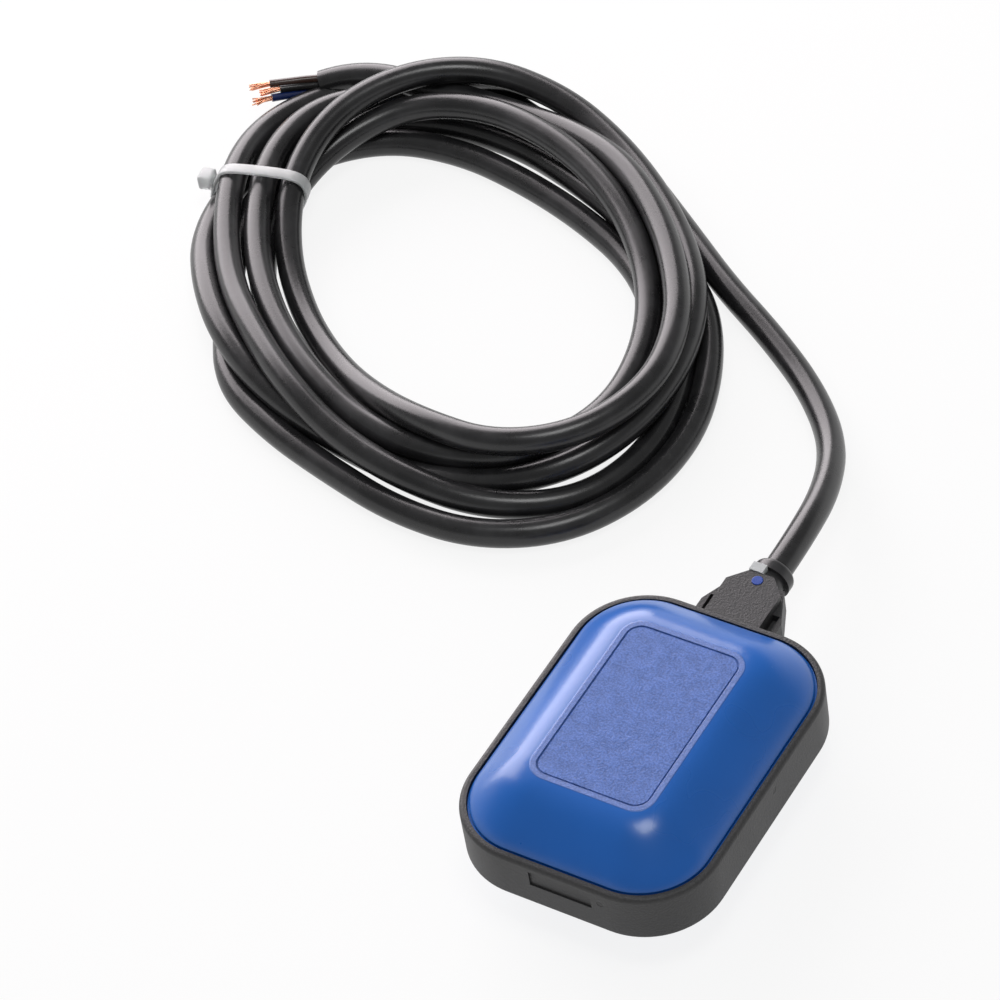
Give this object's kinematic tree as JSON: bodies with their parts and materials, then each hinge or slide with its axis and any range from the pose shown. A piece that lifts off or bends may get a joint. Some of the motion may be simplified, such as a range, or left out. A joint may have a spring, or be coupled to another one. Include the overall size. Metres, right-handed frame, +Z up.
{
  "type": "cable float switch",
  "caption": "Cable float switch: a domed plastic float with a ball and microswitch inside, its neck, and a tied coil of three-core cable with bare ends.",
  "frame": {"origin": "middle of the flat panel of the lower cover, on which the float lies", "axes": "+Z up out of the upper cover's panel, +Y out of the neck along the cable, +X across the float"},
  "size_m": [0.3206, 0.3102, 0.042],
  "materials": {
    "band_plastic": "fine matt grain",
    "blue_plastic": "glossy moulded",
    "bush_rubber": "satin",
    "clear_nylon": "translucent nylon",
    "capsule_plastic": "moulded",
    "seal_rubber": "satin",
    "steel": "zinc plated",
    "ball_steel": "polished",
    "switch_plastic": "moulded",
    "switch_cover_plastic": "moulded",
    "plunger_plastic": "moulded",
    "contact_metal": "stamped",
    "cable_rubber": "satin sheath",
    "brown_insulation": "insulation",
    "black_insulation": "insulation",
    "blue_insulation": "insulation",
    "copper": "bright copper strands"
  },
  "bodies": {
    "float_and_cable": {"band": "band_plastic", "upper_cover": "blue_plastic", "lower_cover": "blue_plastic", "gland_bush": "bush_rubber", "gland_key": "clear_nylon", "neck_peg": "blue_plastic", "capsule_base": "capsule_plastic", "capsule_lid": "capsule_plastic", "capsule_gasket": "seal_rubber", "capsule_screws": "steel", "switch_case": "switch_plastic", "switch_cover": "switch_cover_plastic", "switch_screws": "steel", "terminal_common": "contact_metal", "terminal_open": "contact_metal", "terminal_closed": "contact_metal", "lever_pin": "steel", "wire_blue": "blue_insulation", "wire_brown": "brown_insulation", "wire_black": "black_insulation", "cable_held": "cable_rubber", "cable_lead": "cable_rubber", "cable_tail": "cable_rubber", "cable_coil": "cable_rubber", "cable_tie": "clear_nylon", "core_brown": "brown_insulation", "core_black": "black_insulation", "core_blue": "blue_insulation", "strands_brown": "copper", "strands_black": "copper", "strands_blue": "copper"},
    "ball": {"steel_ball": "ball_steel"},
    "lever_arm": {"lever": "steel"},
    "plunger_rod": {"plunger": "plunger_plastic"},
    "blade": {"contact_blade": "contact_metal"}
  },
  "joints": [
    {"name": "ball_roll", "type": "slide", "parent": "float_and_cable", "child": "ball", "axis": [0, 1, 0], "range_m": [0, 0.01792]},
    {"name": "lever_tilt", "type": "hinge", "parent": "float_and_cable", "child": "lever_arm", "pos_m": [0.0124, 0.00082, 0.02], "axis": [0, 0, -1], "range_deg": [0, 4.5], "stiffness_Nm_per_rad": 0.02},
    {"name": "plunger_press", "type": "slide", "parent": "float_and_cable", "child": "plunger_rod", "axis": [0, 1, 0], "range_m": [0, 0.0009]},
    {"name": "blade_flip", "type": "hinge", "parent": "float_and_cable", "child": "blade", "pos_m": [0.0036, 0.0084, 0.02], "axis": [0, 0, -1], "range_deg": [0, 3]}
  ],
  "couplings": [
    {"joint": "plunger_press", "follows": "lever_tilt", "m_per_rad": 0.011459},
    {"joint": "blade_flip", "follows": "lever_tilt", "ratio": 0.66666}
  ]
}
